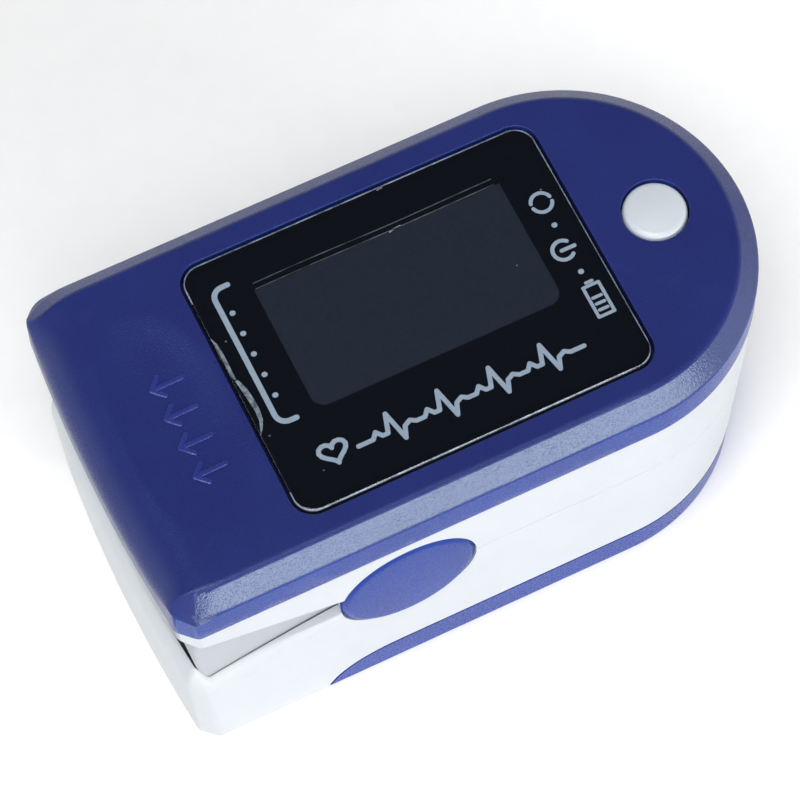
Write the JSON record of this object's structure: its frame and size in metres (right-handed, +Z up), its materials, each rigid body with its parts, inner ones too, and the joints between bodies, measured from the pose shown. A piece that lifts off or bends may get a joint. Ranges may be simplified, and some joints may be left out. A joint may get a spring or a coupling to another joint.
{
  "type": "fingertip pulse oximeter",
  "caption": "Clothes-peg fingertip pulse oximeter: sprung hinged jaws round a finger channel, with a smoked display window, a power button and a sliding battery door.",
  "frame": {"origin": "middle of the base, on the surface it rests on", "axes": "+X from the press end to the finger opening, +Z up through the display, +Y across the jaws along the hinge axle"},
  "size_m": [0.0624, 0.034, 0.0323],
  "materials": {
    "blue_abs": "fine spark-eroded texture, dark blue ABS",
    "white_abs": "satin white ABS",
    "lens_acrylic": "glossy smoked acrylic, printed from behind",
    "display_glass": "dark display glass",
    "clear_acrylic": "clear acrylic",
    "silicone": "soft grey silicone",
    "steel": "bright drawn or nickel-plated steel",
    "circuit_board": "green solder mask on glass-epoxy",
    "chip_plastic": "black moulded package",
    "black_plastic": "black moulded plastic",
    "polyimide": "amber polyimide film",
    "cell_jacket": "printed metal jacket"
  },
  "bodies": {
    "lower_jaw": {"lower_housing": "white_abs", "lower_finger_pad": "silicone", "sensor_window": "clear_acrylic", "photodiode": "chip_plastic", "sensor_board": "circuit_board", "battery_cell_1": "cell_jacket", "battery_cell_2": "cell_jacket", "terminal_plate_negative": "steel", "terminal_plate_positive": "steel", "terminal_spring": "steel", "contact_bridge": "steel", "bridge_spring": "steel", "hinge_axle": "steel", "torsion_spring": "steel", "jaw_ribbon": "polyimide", "pivot_cap_left": "blue_abs", "pivot_cap_right": "blue_abs"},
    "upper_jaw": {"top_cover": "blue_abs", "display_lens": "lens_acrylic", "oled_display": "display_glass", "display_ribbon": "polyimide", "display_holder": "black_plastic", "main_pcb": "circuit_board", "microcontroller": "chip_plastic", "quartz_crystal": "steel", "tact_switch": "chip_plastic", "upper_frame": "white_abs", "upper_finger_pad": "silicone", "emitter_window": "clear_acrylic", "emitter_led": "chip_plastic", "cover_screw_1": "steel", "cover_screw_2": "steel", "cover_screw_3": "steel", "cover_screw_4": "steel"},
    "button": {"power_button": "white_abs"},
    "plunger": {"switch_plunger": "black_plastic"},
    "door": {"battery_door": "blue_abs"}
  },
  "joints": [
    {"name": "jaw_hinge", "type": "hinge", "parent": "lower_jaw", "child": "upper_jaw", "pos_m": [-0.0091, 0, 0.0183], "axis": [0, -1, 0], "range_deg": [0, 17], "stiffness_Nm_per_rad": 0.25, "springref_deg": -20.05, "deforming": ["torsion_spring", "jaw_ribbon"]},
    {"name": "button_press", "type": "slide", "parent": "upper_jaw", "child": "button", "axis": [0, 0, -1], "range_m": [0, 0.0003], "stiffness_N_per_m": 500, "springref_m": -0.002},
    {"name": "plunger_press", "type": "slide", "parent": "upper_jaw", "child": "plunger", "axis": [0, 0, -1], "range_m": [0, 0.0003]},
    {"name": "door_slide", "type": "slide", "parent": "lower_jaw", "child": "door", "axis": [1, 0, 0], "range_m": [0, 0.045]}
  ],
  "couplings": [
    {"joint": "plunger_press", "follows": "button_press", "ratio": 1}
  ]
}
